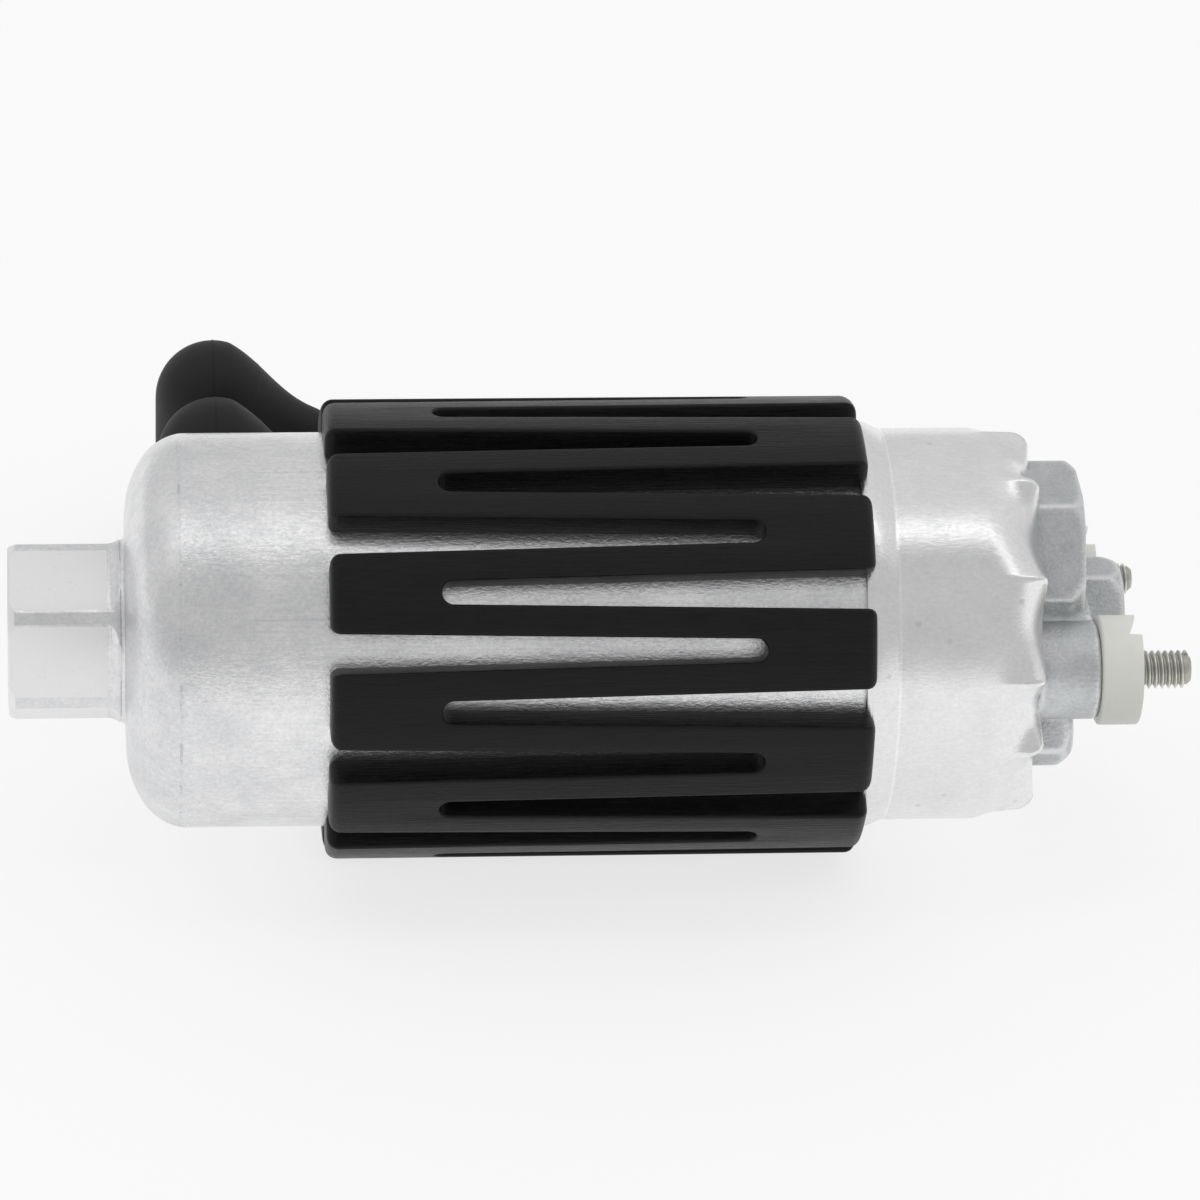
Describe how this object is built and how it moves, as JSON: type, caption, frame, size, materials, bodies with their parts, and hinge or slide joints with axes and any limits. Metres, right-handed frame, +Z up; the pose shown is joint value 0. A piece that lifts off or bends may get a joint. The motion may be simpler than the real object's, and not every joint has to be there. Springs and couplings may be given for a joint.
{
  "type": "electric fuel pump",
  "caption": "In-line electric fuel pump in a crimped round can with a slotted damping sleeve, a hexagonal inlet, threaded outlet, two stud terminals and their loose rubber covers.",
  "frame": {"origin": "centre of the inlet mouth, on the pump's axis", "axes": "+X along the pump's axis towards the outlet, +Z up as the pump lies, -Y towards the front terminal"},
  "size_m": [0.1785, 0.1348, 0.07],
  "materials": {
    "can_aluminium": "brushed, drawn",
    "shell_aluminium": "satin, crimped",
    "cap_casting": "die cast, grainy",
    "sleeve_rubber": "moulded, satin",
    "cover_rubber": "moulded, matt",
    "nylon": "natural nylon",
    "stud_steel": "zinc-nickel plated thread",
    "plate_steel": "ground",
    "rotor_steel": "sintered",
    "lamination_steel": "varnished stack",
    "ferrite": "sintered magnet",
    "copper": "copper",
    "brass": "turned",
    "bronze": "sintered bush",
    "carbon": "pressed carbon",
    "holder_plastic": "glass-filled",
    "seal_rubber": "ring",
    "spring_steel": "wire"
  },
  "bodies": {
    "pump_body": {"inlet_can": "can_aluminium", "outlet_shell": "shell_aluminium", "damping_sleeve": "sleeve_rubber", "end_cap": "cap_casting", "inlet_strainer": "brass", "end_cap_seal": "seal_rubber", "terminal_bush_front": "nylon", "terminal_bush_rear": "nylon", "terminal_stud_front": "stud_steel", "terminal_stud_rear": "stud_steel", "terminal_cover_near": "cover_rubber", "terminal_cover_far": "cover_rubber", "check_valve_seat": "brass", "check_valve_spring": "spring_steel", "inlet_plate": "plate_steel", "chamber_ring": "plate_steel", "outlet_plate": "plate_steel", "relief_spring": "spring_steel", "flux_tube": "plate_steel", "magnet_upper": "ferrite", "magnet_lower": "ferrite", "magnet_clip_front": "spring_steel", "magnet_clip_rear": "spring_steel", "pump_end_bush": "bronze", "brush_end_bush": "bronze", "brush_holder": "holder_plastic", "brush_spring_front": "spring_steel", "brush_spring_rear": "spring_steel", "brush_lead_front": "copper", "brush_lead_rear": "copper"},
    "armature": {"armature_shaft": "plate_steel", "armature_core": "lamination_steel", "armature_windings": "copper", "commutator_hub": "holder_plastic", "commutator_bars": "copper", "inner_rotor": "rotor_steel"},
    "outer_rotor": {"outer_rotor": "rotor_steel"},
    "check_poppet": {"check_valve_poppet": "nylon"},
    "relief_ball": {"relief_ball": "plate_steel"},
    "brush_front": {"carbon_brush_front": "carbon"},
    "brush_rear": {"carbon_brush_rear": "carbon"}
  },
  "joints": [
    {"name": "armature_spin", "type": "hinge", "parent": "pump_body", "child": "armature", "pos_m": [0.086, 0, 0], "axis": [1, 0, 0], "continuous": true},
    {"name": "outer_rotor_spin", "type": "hinge", "parent": "pump_body", "child": "outer_rotor", "pos_m": [0.041, 0, 0.0016], "axis": [1, 0, 0], "continuous": true},
    {"name": "check_valve_lift", "type": "slide", "parent": "pump_body", "child": "check_poppet", "axis": [1, 0, 0], "range_m": [0, 0.002], "stiffness_N_per_m": 120, "springref_m": -0.002, "deforming": ["check_valve_spring"]},
    {"name": "relief_valve_lift", "type": "slide", "parent": "pump_body", "child": "relief_ball", "axis": [-1, 0, 0], "range_m": [0, 0.001], "stiffness_N_per_m": 400, "springref_m": -0.002, "deforming": ["relief_spring"]},
    {"name": "brush_front_slide", "type": "slide", "parent": "pump_body", "child": "brush_front", "axis": [0, -1, 0], "range_m": [0, 0.002], "stiffness_N_per_m": 60, "springref_m": -0.004, "deforming": ["brush_spring_front"]},
    {"name": "brush_rear_slide", "type": "slide", "parent": "pump_body", "child": "brush_rear", "axis": [0, 1, 0], "range_m": [0, 0.002], "stiffness_N_per_m": 60, "springref_m": -0.004, "deforming": ["brush_spring_rear"]}
  ],
  "couplings": [
    {"joint": "outer_rotor_spin", "follows": "armature_spin", "ratio": 0.8}
  ]
}
